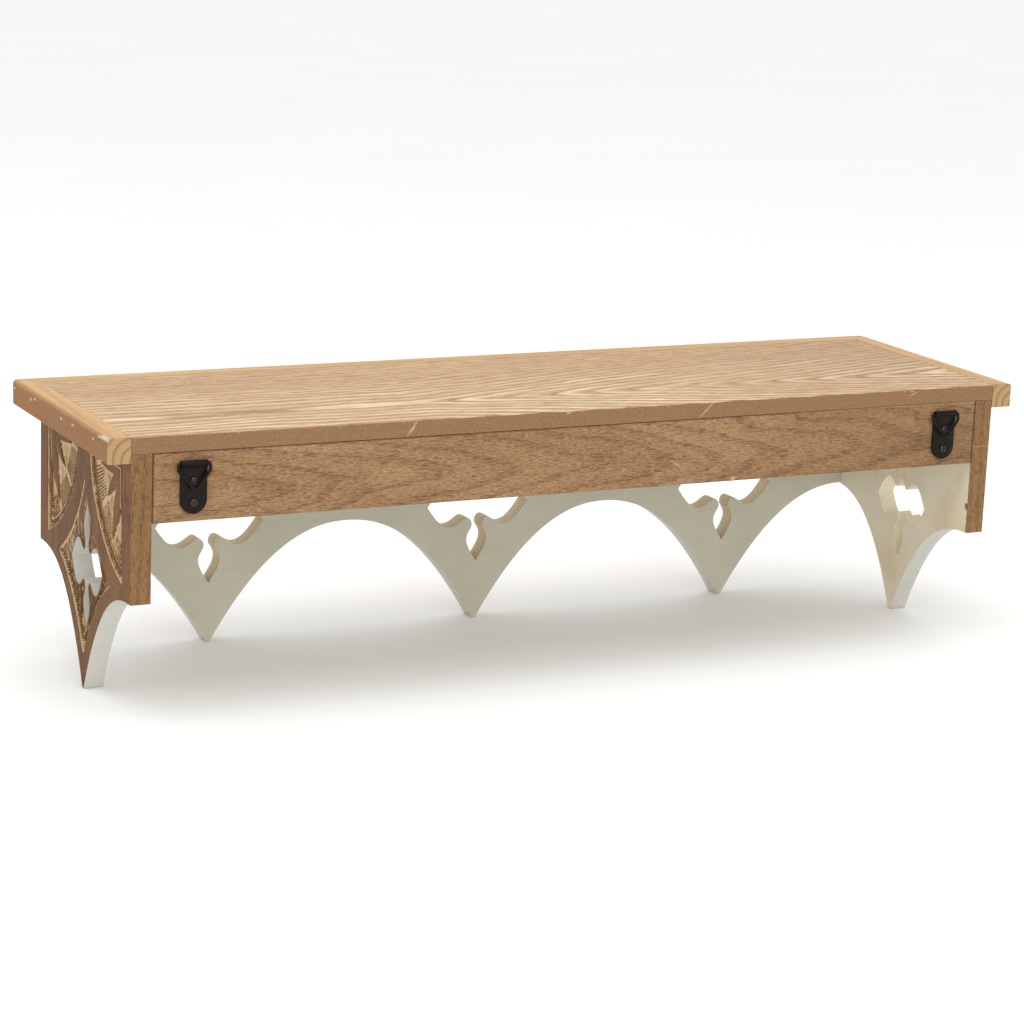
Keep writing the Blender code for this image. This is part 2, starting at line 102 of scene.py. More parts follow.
def selectFacing(piece, direction):
    # ends in edit mode with the faces that look that way selected
    activate(piece)
    bpy.ops.object.mode_set(mode="EDIT")
    bpy.ops.mesh.select_all(action="DESELECT")
    bpy.ops.object.mode_set(mode="OBJECT")
    for face in piece.data.polygons:
        face.select = face.normal.dot(direction) > 0.9
    bpy.ops.object.mode_set(mode="EDIT")


def smoothByAngle(piece, degrees):
    activate(piece)
    bpy.ops.object.shade_smooth_by_angle(angle=math.radians(degrees))


class Wire:
    # one socket: numbers and other wires can be added to it, and it grows any node beside it
    def __init__(self, socket):
        self.socket = socket

    def node(self, kind, values, out=0, **settings):
        made = self.socket.id_data.nodes.new("ShaderNode" + kind)
        for setting, value in settings.items():
            setattr(made, setting, value)
        for name, value in values.items():
            if isinstance(value, Wire):
                self.socket.id_data.links.new(value.socket, made.inputs[name])
            else:
                made.inputs[name].default_value = value
        return Wire(made.outputs[out])

    def maths(self, operation, first, second=0.0):
        return self.node("Math", {0: first, 1: second}, operation=operation)

    def __add__(self, other):
        return self.maths("ADD", self, other)

    def __sub__(self, other):
        return self.maths("SUBTRACT", self, other)

    def __rsub__(self, other):
        return self.maths("SUBTRACT", other, self)

    def __mul__(self, other):
        return self.maths("MULTIPLY", self, other)

    def __truediv__(self, other):
        return self.maths("DIVIDE", self, other)

    def __pow__(self, other):
        return self.maths("POWER", self, other)

    __radd__ = __add__
    __rmul__ = __mul__

    def most(self, other):
        return self.maths("MAXIMUM", self, other)

    def size(self):
        return self.maths("ABSOLUTE", self)

    def part(self):  # what is left after the whole number
        return self.maths("FRACT", self)

    def rise(self, low, high):  # 0 below low, 1 above high, smooth between them
        values = {"Value": self, "From Min": low, "From Max": high}
        return self.node("MapRange", values, interpolation_type="SMOOTHSTEP")

    def axis(self, index):
        return self.node("SeparateXYZ", {0: self}, out=index)

    def stretched(self, x, y, z):
        return self.node("VectorMath", {0: self, 1: (x, y, z)}, operation="MULTIPLY")

    def shifted(self, offset):
        return self.node("VectorMath", {0: self, 1: offset}, operation="ADD")

    def distance(self, point):
        return self.node("VectorMath", {0: self, 1: point}, out=1, operation="DISTANCE")

    def noise(self, scale, detail=2.0, roughness=0.5):
        values = {"Vector": self, "Scale": scale, "Detail": detail, "Roughness": roughness}
        return self.node("TexNoise", values)


def blendColours(factor, first, second):
    return factor.node("Mix", {0: factor, 6: first, 7: second}, out=2, data_type="RGBA")


def shade(red, green, blue):  # a colour as it is read off a paint chart, 0 to 255
    linear = []
    for value in (red, green, blue):
        value /= 255
        linear.append(value / 12.92 if value <= 0.04045 else ((value + 0.055) / 1.055) ** 2.4)
    return (*linear, 1)


def newMaterial(name):
    material = bpy.data.materials.new(name)
    material.use_nodes = True
    shader = material.node_tree.nodes["Principled BSDF"]
    place = Wire(material.node_tree.nodes.new("ShaderNodeTexCoord").outputs["Object"])
    return material, shader, place


def finishMaterial(shader, colour, roughness, height, bumpDistance, specular=0.5, metallic=0.0):
    # the surface's colour, roughness and bump follow the nodes; its specular level and metal are fixed
    tree = shader.id_data
    tree.links.new(colour.socket, shader.inputs["Base Color"])
    tree.links.new(roughness.socket, shader.inputs["Roughness"])
    shader.inputs["Metallic"].default_value = metallic
    shader.inputs["Specular IOR Level"].default_value = specular
    bump = height.node("Bump", {"Height": height, "Distance": bumpDistance, "Strength": 1.0})
    tree.links.new(bump.socket, shader.inputs["Normal"])


woodSheen = 0.2  # specular level of all the wood
woodLook = {
    "limeTan": shade(171, 136, 97),
    "limeLight": shade(177, 144, 104),
    "limeDeep": shade(130, 96, 63),
    "limeWhite": shade(224, 203, 171),
    "stainMid": shade(143, 108, 74),
    "stainLight": shade(164, 129, 91),
    "stainPale": shade(186, 156, 119),
    "stainDark": shade(85, 58, 34),
    "stainEdge": shade(138, 106, 74),
    "edgeMid": shade(127, 93, 59),
    "edgeLight": shade(144, 110, 71),
    "edgePale": shade(156, 123, 80),
    "edgeDark": shade(82, 54, 29),
    "carvedMid": shade(108, 73, 42),
    "carvedLight": shade(130, 91, 53),
    "carvedPale": shade(144, 105, 64),
    "carvedDark": shade(68, 43, 25),
    "pineMid": shade(180, 141, 95),
    "pineLight": shade(192, 156, 110),
    "pineDark": shade(152, 107, 61),
    "pineEnd": shade(171, 140, 98),
    "pineEndRing": shade(122, 92, 56),
    "pineStain": shade(141, 92, 42),
    "washCream": shade(204, 176, 136),
    # dark colour for seams and joints, also used for painted shadow in the gaps between parts
    "seamAndShadow": shade(60, 42, 28),
    "glue": shade(176, 139, 88),
    "scuffPale": shade(187, 172, 152),
    "chipWhite": shade(214, 206, 192),
}

paintSheen = 0.4
paintLook = {  # main tone, paler cloud, darker brush line
    "back": (shade(192, 188, 168), shade(199, 195, 177), shade(181, 174, 153)),
    "inside": (shade(223, 210, 185), shade(229, 219, 197), shade(214, 194, 156)),
    "edge": (shade(192, 190, 180), shade(199, 198, 189), shade(178, 174, 160)),
    "opening": (shade(196, 177, 140), shade(203, 187, 153), shade(172, 149, 110)),
}

# growth rings: the heart's place across and behind the face, metres to a ring, rings to a metre along
# the grain, how many rings they stray, how fast that changes along the grain, and their fine ripple
woodFigures = {
    "top": {"heart": (-0.070, 0.000), "spacing": 0.0115, "lean": 20,
            "stray": 2.2, "drift": 4.5, "ripple": 0.5},
    "rail": {"heart": (0.043, 0.011), "spacing": 0.0125, "lean": -13,
            "stray": 3.2, "drift": 5, "ripple": 0.5},
    "edge": {"heart": (0.03, 0.06), "spacing": 0.009, "lean": 4,
            "stray": 1.5, "drift": 4, "ripple": 0.5},
    "pine": {"heart": (-0.015, -0.013), "spacing": 0.0075, "lean": 3,
            "stray": 0.8, "drift": 3, "ripple": 0.2},
}

scuffMarks = {  # each mark's place, turn, length and width
    "top": [
        ((0.1773, 0, 0.0006), (0, 0.93, 0), 0.017, 0.0024),
        ((-0.119, 0, 0.0005), (0, 0.75, 0), 0.026, 0.0016),
        ((0.0239, 0, 0.0056), (0, 0.1, 0), 0.006, 0.0024),
        ((-0.345, 0, 0.0030), (0, 0.4, 0), 0.011, 0.0014),
    ],
    "rail": [
        ((-0.0893, 0, -0.0487), (0, -0.55, 0), 0.019, 0.0013),
        ((-0.1508, 0, -0.0665), (0, 0.0, 0), 0.006, 0.0040),
    ],
    "right_trim": [
        ((0.4572, -0.0085, 0.0062), (0, 0, math.pi / 2), 0.020, 0.0040),
        ((0.4572, -0.0200, 0.0050), (0.3, 0, math.pi / 2), 0.011, 0.0018),
        ((0.4572, -0.2562, 0.0009), (0, 0, 0), 0.0060, 0.0022),
        ((0.4572, -0.1971, 0.0024), (0, 0, 0), 0.0060, 0.0022),
        ((0.4572, -0.0907, 0.0007), (0, 0, 0), 0.0060, 0.0026),
    ],
}
scuffReach = 0.004  # how far a mark reaches off its own face


def alongGrain(place, turn, offset=(0, 0, 0)):
    # turns the object's coordinates so that the grain runs along the new X
    return place.node("Mapping", {"Vector": place, "Rotation": turn, "Location": offset})


def growthRings(grain, figure, along=None):
    # rings round a heart behind the face, so that a flat cut shows arches
    drift = grain.stretched(figure["drift"], 14, 14).noise(1.0, 2.0)
    ripple = grain.stretched(14, 90, 90).noise(1.0, 3.0)
    across = grain.axis(1) - figure["heart"][0]
    deep = grain.axis(2) - figure["heart"][1]
    turns = (across * across + deep * deep) ** 0.5 / figure["spacing"]
    turns += (along or grain.axis(0)) * figure["lean"]
    return turns + (drift - 0.5) * figure["stray"] + (ripple - 0.5) * figure["ripple"]


def stainColour(grain, figure, family="stain"):
    # short dark pores that crowd into the late wood of each ring, over a clouded stain
    ring = growthRings(grain, figure).part()
    late = ring.rise(0.4, 0.92) * (1 - ring.rise(0.95, 1.0))
    fine = grain.stretched(210, 1500, 1500).noise(1.0, 2.0, 0.6)
    pores = (grain.stretched(75, 850, 850).noise(1.0, 2.0, 0.65) + late * 0.07).rise(0.56, 0.70)
    pale = grain.stretched(130, 1100, 1100).shifted((7, 3, 2)).noise(1.0, 2.0, 0.6)
    cloud = grain.stretched(6, 18, 18).noise(1.0, 4.0, 0.6)
    dark = woodLook[family + "Dark"]
    colour = blendColours(cloud.rise(0.3, 0.7), woodLook[family + "Mid"], woodLook[family + "Light"])
    colour = blendColours(pale.rise(0.5, 0.68) * 0.5, colour, woodLook[family + "Pale"])
    colour = blendColours(late * 0.15, colour, dark)
    colour = blendColours(fine.rise(0.44, 0.62) * 0.5, colour, dark)
    colour = blendColours(pores * 0.6, colour, dark)
    return colour, 1 - pores * 0.8 - fine * 0.3, cloud


def scuffed(place, colour, marks, tone="scuffPale"):
    # short rubbed lines with ragged ends
    ragged = (place.noise(520.0, 4.0, 0.7) - 0.5) * 2.6
    for spot, turn, length, width in marks:
        reach = (length / 2, scuffReach, width / 2)
        values = {"Vector": place, "Location": spot, "Rotation": turn, "Scale": reach}
        near = place.node("Mapping", values, vector_type="TEXTURE").distance((0, 0, 0))
        colour = blendColours((1 - (near + ragged).rise(0.3, 1.2)) * 0.7, colour, woodLook[tone])
    return colour


bracketLook = {
    "jointDrop": 0.0527,  # the glued joint in the left one's wall edge
    "darkFrom": 0.4352,  # the joint is darker at its outer end, between these
    "darkTo": 0.4366,
    "chipSpot": (-0.4175, -0.0022, -0.1127),
    "chipSize": 0.0042,
}


def edgeWood():
    # the brackets' wall and front edges: plain brown, with a glued joint across the left one
    material, shader, place = newMaterial("edgeBrownStain")
    colour, height, cloud = stainColour(alongGrain(place, (0, math.pi / 2, 0)), woodFigures["edge"], "edge")
    joint = 1 - (place.axis(2) + bracketLook["jointDrop"]).size().rise(0.0002, 0.0009)
    joint = joint * (1 - place.axis(0).rise(-0.1, 0.1))
    colour = blendColours(joint * 0.4, colour, woodLook["glue"])
    outer = place.axis(0).size().rise(bracketLook["darkFrom"], bracketLook["darkTo"])
    colour = blendColours(joint * outer, colour, woodLook["seamAndShadow"])
    finishMaterial(shader, colour, 0.58 + cloud * 0.14, height, 0.0003, woodSheen)
    return material


def railWood():
    # brown stain on the wall side and the edges, cream paint on the room side
    material, shader, place = newMaterial("railBrownStain")
    colour, height, cloud = stainColour(alongGrain(place, (math.pi / 2, 0, 0)), woodFigures["rail"])
    colour = scuffed(place, colour, scuffMarks["rail"])
    low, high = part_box("back_rail")
    x, z = place.axis(0), place.axis(2)
    # painted shade: the rail's stain darkens towards its -X end
    colour = blendColours((1 - x.rise(-0.42, -0.05)) * 0.26, colour, woodLook["stainDark"])
    wobble = (place.noise(40.0, 2.0) - 0.5) * 0.0012
    # painted shadow: a dark line along the rail's top where it meets the board; towards -X the same band also
    # shows a real yellow glue line
    seamAndShadow = (z + wobble).rise(high.z - 0.0013, high.z - 0.0003)
    # painted shade: the rail's ends darken in the narrow gaps against the brackets
    ends = x.size().rise(high.x - 0.0018, high.x - 0.0006)
    colour = blendColours(seamAndShadow * 0.5, colour, woodLook["seamAndShadow"])
    colour = blendColours(seamAndShadow * (1 - x.rise(-0.34, -0.16)) * 0.8, colour, woodLook["glue"])
    colour = blendColours(ends * 0.8, colour, woodLook["seamAndShadow"])
    inner = 1 - place.axis(1).rise(low.y + 0.0002, low.y + 0.0009)
    colour = blendColours(inner, colour, paintLook["back"][0])
    finishMaterial(shader, colour, 0.56 + cloud * 0.14, height, 0.00035, woodSheen)
    return material


def limedOak():
    # pale scrubbed grain on top, brown stain along the wall edge, cream paint below
    material, shader, place = newMaterial("limedOakTop")
    x, y, z = (place.axis(index) for index in range(3))
    held = x.maths("MINIMUM", x, 0.14)  # beyond this the rings run straight
    turns = growthRings(place, woodFigures["top"], held)
    ring = turns.part()
    strength = turns.node("TexWhiteNoise", {"W": turns.maths("FLOOR", turns)}, noise_dimensions="1D")
    early = ring.rise(0.08, 0.5) * (1 - ring.rise(0.62, 0.84)) * (0.5 + strength * 0.5)
    late = ring.rise(0.76, 0.9) * (1 - ring.rise(0.93, 1.0)) * (0.35 + strength * 0.6)
    streaks = place.stretched(24, 520, 200).noise(1.0, 3.0, 0.7)
    pores = place.stretched(70, 1000, 1000).noise(1.0, 2.0, 0.65)
    limed = place.stretched(45, 760, 760).shifted((3, 5, 7)).noise(1.0, 2.0, 0.6)
    cloud = place.stretched(3, 9, 9).noise(1.0, 3.0)
    patch = place.stretched(7, 30, 9).shifted((9, 1, 4)).noise(1.0, 2.0)
    bold = 0.25 + y.rise(-0.20, -0.08) * 0.75
    lime = early * (0.45 + streaks.rise(0.38, 0.62) * 0.6) * bold * (0.6 + patch.rise(0.35, 0.65) * 0.6)
    lime = lime.most(limed.rise(0.56, 0.70) * 0.6)
    colour = blendColours(cloud.rise(0.35, 0.65), woodLook["limeTan"], woodLook["limeLight"])
    colour = blendColours((1 - x.rise(-0.5, -0.12)) * 0.35, colour, woodLook["limeDeep"])
    colour = blendColours(late * (0.3 + bold * 0.5), colour, woodLook["limeDeep"])
    colour = blendColours(pores.rise(0.52, 0.64) * 0.85, colour, woodLook["limeDeep"])
    colour = blendColours(lime * 0.95, colour, woodLook["limeWhite"])
    smear = place.stretched(30, 60, 300).noise(1.0, 3.0)
    edge = blendColours(smear.rise(0.35, 0.7), woodLook["stainEdge"], woodLook["stainMid"])
    speck = place.stretched(500, 500, 1400).noise(1.0, 2.0)
    edge = blendColours(speck.rise(0.45, 0.65) * 0.45, edge, woodLook["stainDark"])
    edge = scuffed(place, edge, scuffMarks["top"])
    nicks = place.stretched(110, 260, 420).noise(1.0, 3.0).rise(0.62, 0.68)
    nicks = nicks * z.rise(boardHigh.z - 0.004, boardHigh.z)
    edge = blendColours(nicks * 0.7, edge, woodLook["scuffPale"])
    wear = place.stretched(60, 200, 200).noise(1.0, 2.0) * 0.0012
    topFace = (z + wear).rise(boardHigh.z - 0.0004, boardHigh.z + 0.0002)
    wallEdge = y.rise(boardHigh.y - 0.0008, boardHigh.y - 0.0003)
    colour = blendColours(topFace, blendColours(wallEdge, paintLook["back"][0], edge), colour)
    height = 1 - pores.rise(0.54, 0.68) * 0.5 - early * streaks * 0.5
    finishMaterial(shader, colour, 0.52 + lime * 0.2, height, 0.0003, woodSheen)
    return material


def honeyPine(name, trim, turn, offset):
    # clear pine on top and on the sawn ends, brown stain on the outer faces
    material, shader, place = newMaterial(name)
    grain = alongGrain(place, turn, offset)
    ring = growthRings(grain, woodFigures["pine"]).part()
    late = ring.rise(0.5, 0.9) * (1 - ring.rise(0.93, 1.0))
    fine = grain.stretched(30, 700, 700).noise(1.0, 2.0)
    cloud = grain.stretched(5, 30, 30).noise(1.0, 3.0)
    colour = blendColours(cloud.rise(0.3, 0.7), woodLook["pineMid"], woodLook["pineLight"])
    colour = blendColours(late * 0.3, colour, woodLook["pineDark"])
    colour = blendColours(fine.rise(0.5, 0.75) * 0.2, colour, woodLook["pineDark"])
    sawn = blendColours(late * 0.65, woodLook["pineEnd"], woodLook["pineEndRing"])
    sawn = blendColours(place.noise(700.0, 2.0).rise(0.45, 0.7) * 0.25, sawn, woodLook["pineDark"])
    frontLow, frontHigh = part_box("front_trim")
    x, y, z = (place.axis(index) for index in range(3))
    edge = (x.size() - frontHigh.x).most(frontLow.y - y)
    outer = (edge + place.noise(160.0, 3.0) * 0.0009).rise(-0.0009, 0.0002)
    stain = stainColour(grain, woodFigures["edge"], "edge")[0]
    stain = blendColours(0.6 + cloud * 0.25, stain, woodLook["pineStain"])
    # painted highlight: the outer stain lightens to clear pine along the trim's top edge, with a ragged lower
    # border
    uneven = (place.stretched(30, 30, 30).noise(1.0, 3.0) - 0.5) * 0.006
    topEdgeHighlight = (z + uneven).rise(frontHigh.z - 0.0042, frontHigh.z)
    stain = blendColours(topEdgeHighlight * 0.55, stain, woodLook["pineMid"])
    colour = blendColours(outer * 0.95, colour, stain)
    colour = blendColours(y.rise(-0.0008, -0.0002), colour, sawn)
    colour = scuffed(place, colour, scuffMarks.get(trim, []), "chipWhite")
    finishMaterial(shader, colour, 0.5 + cloud * 0.12, 1 - late * 0.25 - fine * 0.3, 0.0003, woodSheen)
    return material


def creamPaint(name, look):
    # brushed satin paint; inside the brackets it yellows, and stops raggedly at the wall edge
    material, shader, place = newMaterial(name)
    main, pale, dull = paintLook[look]
    brush = place.stretched(26, 26, 420).noise(1.0, 3.0)
    cloud = place.noise(12.0, 4.0)
    mottle = place.noise(700.0, 2.0)
    colour = blendColours(cloud.rise(0.35, 0.65), main, pale)
    colour = blendColours(brush.rise(0.45, 0.8) * 0.3, colour, dull)
    if look == "inside":
        yellowed = place.shifted((4, 2, 9)).noise(17.0, 3.0).rise(0.52, 0.72)
        colour = blendColours(yellowed * 0.7, colour, dull)
        fray = (place.stretched(100, 100, 330).noise(1.0, 4.0, 0.7) - 0.5) * 0.0036
        border = (place.axis(1) + fray).rise(-0.0019, -0.0013)
        near = place.distance(bracketLook["chipSpot"]) + (place.noise(430.0, 3.0, 0.7) - 0.5) * 0.011
        chip = bracketLook["chipSize"]
        border = border.most(1 - near.rise(chip * 0.7, chip * 0.85))
        colour = blendColours(border, colour, woodLook["stainMid"])
        dots = (1 - near.rise(0.001, 0.0016)) * 0.9
        colour = blendColours(dots, colour, woodLook["seamAndShadow"])
    elif look == "opening":
        colour = blendColours(mottle.rise(0.5, 0.7) * 0.35, colour, dull)
    finishMaterial(shader, colour, 0.42 + cloud * 0.14, brush * 0.5 + mottle * 0.5, 0.00016, paintSheen)
    return material


def washedCarving(name):
    # brown stain with streaks of cream wash left in the cuts; the wash attribute says where
    material, shader, place = newMaterial(name)
    grain = alongGrain(place, (0, math.pi / 2, 0))
    colour, height, cloud = stainColour(grain, woodFigures["edge"], "carved")
    cuts = place.node("Attribute", {}, out=2, attribute_name="wash")
    streaks = grain.stretched(55, 620, 620).noise(1.0, 3.0, 0.7)
    patch = place.noise(60.0, 3.0, 0.6)
    crumbs = place.noise(1300.0, 2.0)
    wash = cuts * 1.1 + (streaks - 0.5) * 1.9 + (patch - 0.5) * 0.9 + (crumbs - 0.5) * 0.4
    wash = wash.rise(0.36, 0.72) * cuts.rise(0.02, 0.2)
    colour = blendColours(wash * 0.88, colour, woodLook["washCream"])
    finishMaterial(shader, colour, 0.6 + cloud * 0.12, height + crumbs * 0.5 + wash * 0.5, 0.0003, woodSheen)
    return material


hardwareLook = {
    "ironBlack": shade(15, 11, 7),
    "ironBrown": shade(27, 22, 15),
    "strapGloss": (0.12, 0.26),  # specular level and roughness
    "screwGloss": (0.45, 0.2),
    "beechDark": shade(190, 154, 112),
    "beechLight": shade(210, 178, 138),
    "steelDark": shade(160, 160, 162),
    "steelLight": shade(196, 196, 198),
    "puttyDark": shade(206, 186, 150),
    "puttyLight": shade(224, 208, 178),
}


def blackIron(name, gloss, roughness):
    material, shader, place = newMaterial(name)
    cloud = place.noise(260.0, 3.0)
    pits = place.noise(1500.0, 2.0)
    colour = blendColours(cloud, hardwareLook["ironBlack"], hardwareLook["ironBrown"])
    finishMaterial(shader, colour, roughness + cloud * 0.12, pits, 0.00006, gloss)
    return material


def speckled(name, kind, grainScale, roughness, bumpDistance, metallic=0.0):
    # one fleck pattern does for the dowels, the nails and the filler over them
    material, shader, place = newMaterial(name)
    flecks = place.stretched(*grainScale).noise(1.0, 3.0)
    colour = blendColours(flecks.rise(0.3, 0.7), hardwareLook[kind + "Dark"], hardwareLook[kind + "Light"])
    finishMaterial(shader, colour, roughness + flecks * 0.12, flecks, bumpDistance, 0.5, metallic)
    return material


alongDepth = (0, 0, math.pi / 2)
carvedSide = washedCarving("washedCarvingSide")
carvedFront = washedCarving("washedCarvingFront")
edgeStain = edgeWood()
backPaint = creamPaint("creamPaintBack", "back")
insidePaint = creamPaint("creamPaintInside", "inside")
edgePaint = creamPaint("creamPaintEdge", "edge")
openingPaint = creamPaint("creamPaintOpening", "opening")
iron = blackIron("blackIron", *hardwareLook["strapGloss"])
screwIron = blackIron("blackScrewIron", *hardwareLook["screwGloss"])
putty = speckled("palePutty", "putty", (900, 900, 900), 0.6, 0.0001)
beech = speckled("dowelBeech", "beech", (200, 200, 60), 0.58, 0.0002)
steel = speckled("nailBrightSteel", "steel", (600, 600, 600), 0.28, 0.00005, 1.0)

kept = {  # the frame's own pieces that stay, each with its finish
    "top_board": limedOak(),
    "back_rail": railWood(),
    "front_trim": honeyPine("honeyPineFront", "front_trim", (0, 0, 0), (0, 0.2561, 0)),
    "left_trim": honeyPine("honeyPineLeft", "left_trim", alongDepth, (0, 0.4466, 0)),
    "right_trim": honeyPine("honeyPineRight", "right_trim", alongDepth, (0, -0.4466, 0)),
}
kept.update({name: beech for name in nodes if "dowel" in name})
kept.update({name: steel for name in nodes if "nail" in name})
for name, material in kept.items():
    nodes[name].material_slots[0].material = material
print("materials made:", len(bpy.data.materials))

panelCut = {  # metres; a drop is measured down from the shelf's top
    "edgeDrop": 0.146,
    "tipDrop": 0.254,
    "openingDrop": 0.140,
    "bracketWidthScale": 0.77,
    "bracketOpeningSetback": 0.1148,
    "bracketPower": 2.6,
    "bracketTipFlat": 0.003,
    "apronPower": 2.15,
    "apronTipFlat": 0.0035,
    "bays": 3,
    "archSteps": 48,
    "loopSteps": 12,
    "crowd": 1.4,  # how much closer together the arch's points lie at its tip
    "proud": 0.0006,
}

carving = {  # millimetres, except from the cells on, which are metres
    "cornerAcross": 140.0,
    "cornerDown": 10.0,
    "pocketRadius": 129.0,
    "fieldRadius": 149.0,
    "pocketTop": 25.0,
    "sideStrip": 102.0,
    "edgeBand": 13.0,
    "wallRun": 4.2,
    "depth": 3.0,
    "notchPitch": 2.5,
    "strokePitch": 3.3,
    "gritPitch": 2.6,
    "ribPitch": 2.7,
    "petals": ((13, 66, 11.0), (42, 62, 7.5), (68, 84, 9.5)),  # turn, length, half width
    "shoots": (  # from and to, across and down, then half width
        (10, 128, 15, 97, 3.4),
        (27, 112, 14, 84, 2.6),
        (13, 158, 8.5, 196, 3.0),
        (25, 158, 16, 180, 3.0),
    ),
    "openStrip": 500.0,
    "openingWindow": (66, 70),
    "farFromOpening": 60.0,
    "openingPaintReach": 2.2,
    "deepest": 3.8,
    "creaseAngle": 38,  # degrees
    "bracketCell": 0.00075,
    "apronCell": 0.00119,
    "margin": 0.001,
    "edgeReach": 0.0003,
    "faceReach": 0.006,
    "blockDepth": 0.0235,
}
patternHalf = boardDepth / 2 / mm


def easeStep(low, high, value):
    t = np.clip((value - low) / (high - low), 0, 1)
    return t * t * (3 - 2 * t)


def stripe(low, high, value, soft=0.5):
    return easeStep(low - soft, low + soft, value) * (1 - easeStep(high - soft, high + soft, value))


def leafCross(centre, width):
    # Bezier points of the opening, each with its handles, all round
    quarter = [
        ((0.0536, 0.0000), (-0.0050, -0.0070), (-0.0050, 0.0070)),
        ((0.0289, 0.0214), (0.0110, 0.0000), (-0.0080, 0.0000)),
        ((0.0112, 0.0132), (0.0040, 0.0000), (-0.0032, 0.0000)),
        ((0.0054, 0.0205), (0.0000, -0.0045), (0.0000, 0.0035)),
        ((0.0107, 0.0340), (0.0000, -0.0060), (0.0000, 0.0080)),
        ((0.0000, 0.0569), (0.0035, -0.0060), (-0.0035, -0.0060)),
    ]
    loop = []
    for across, up, reverse in ((1, -1, False), (-1, -1, True), (-1, 1, False), (1, 1, True)):
        stretch = Vector((across * width, up))
        for spot, handleIn, handleOut in quarter[:0:-1] if reverse else quarter[:-1]:
            if reverse:
                handleIn, handleOut = handleOut, handleIn
            point = Vector(spot) * stretch + centre
            loop.append((point, point + Vector(handleIn) * stretch, point + Vector(handleOut) * stretch))
    return loop


def archHalf(start, end, power):
    # from an arch's crown down to the shoulder of a tip
    points = []
    for step in range(panelCut["archSteps"] + 1):
        along = 1 - (1 - step / panelCut["archSteps"]) ** panelCut["crowd"]
        drop = panelCut["edgeDrop"] + (panelCut["tipDrop"] - panelCut["edgeDrop"]) * along**power
        points.append((start + (end - start) * along, topZ - drop))
    return points


def flatPanel(name, outline, loops, thickness):
    # a flat curve with its openings, made into a solid mesh in local XY
    curve = bpy.data.curves.new(name, "CURVE")
    curve.dimensions = "2D"
    curve.fill_mode = "BOTH"
    curve.extrude = thickness / 2
    border = curve.splines.new("POLY")
    border.points.add(len(outline) - 1)
    for point, (x, y) in zip(border.points, outline):
        point.co = (x, y, 0, 1)
    border.use_cyclic_u = True
    for loop in loops:
        spline = curve.splines.new("BEZIER")
        spline.bezier_points.add(len(loop) - 1)
        for point, (spot, handleIn, handleOut) in zip(spline.bezier_points, loop):
            point.co = (*spot, 0)
            point.handle_left = (*handleIn, 0)
            point.handle_right = (*handleOut, 0)
        spline.resolution_u = panelCut["loopSteps"]
        spline.use_cyclic_u = True
    panel = bpy.data.objects.new(name, curve)
    bpy.context.scene.collection.objects.link(panel)
    activate(panel)
    bpy.ops.object.convert(target="MESH")
    faceOutwards(panel)
    return panel


def readPoints(mesh):
    points = np.empty(len(mesh.vertices) * 3)
    mesh.vertices.foreach_get("co", points)
    return points.reshape(-1, 3)


def writePoints(mesh, points):
    mesh.vertices.foreach_set("co", np.ascontiguousarray(points, np.float32).ravel())
    mesh.update()


def loopPoints(loop, steps=14):
    # the opening's edge as points, for measuring how far the carving is from it
    points = []
    for (start, startIn, startOut), (end, endIn, endOut) in zip(loop, loop[1:] + loop[:1]):
        for step in range(steps):
            t = step / steps
            a, b, c, d = (1 - t) ** 3, 3 * t * (1 - t) ** 2, 3 * t * t * (1 - t), t**3
            points.append(start * a + startOut * b + endIn * c + end * d)
    return np.array([tuple(point) for point in points])


def nearestGap(across, up, edge):
    found = np.full(across.shape, 1e9)
    for x, y in edge:
        np.minimum(found, (across - x) ** 2 + (up - y) ** 2, out=found)
    return np.sqrt(found)


def pointedLeaf(along, across, length, halfWidth):
    # room inside a pointed leaf, negative outside it
    t = np.clip(along / length, 0, 1)
    return halfWidth * np.sin(np.pi * t**0.8) - np.abs(across)


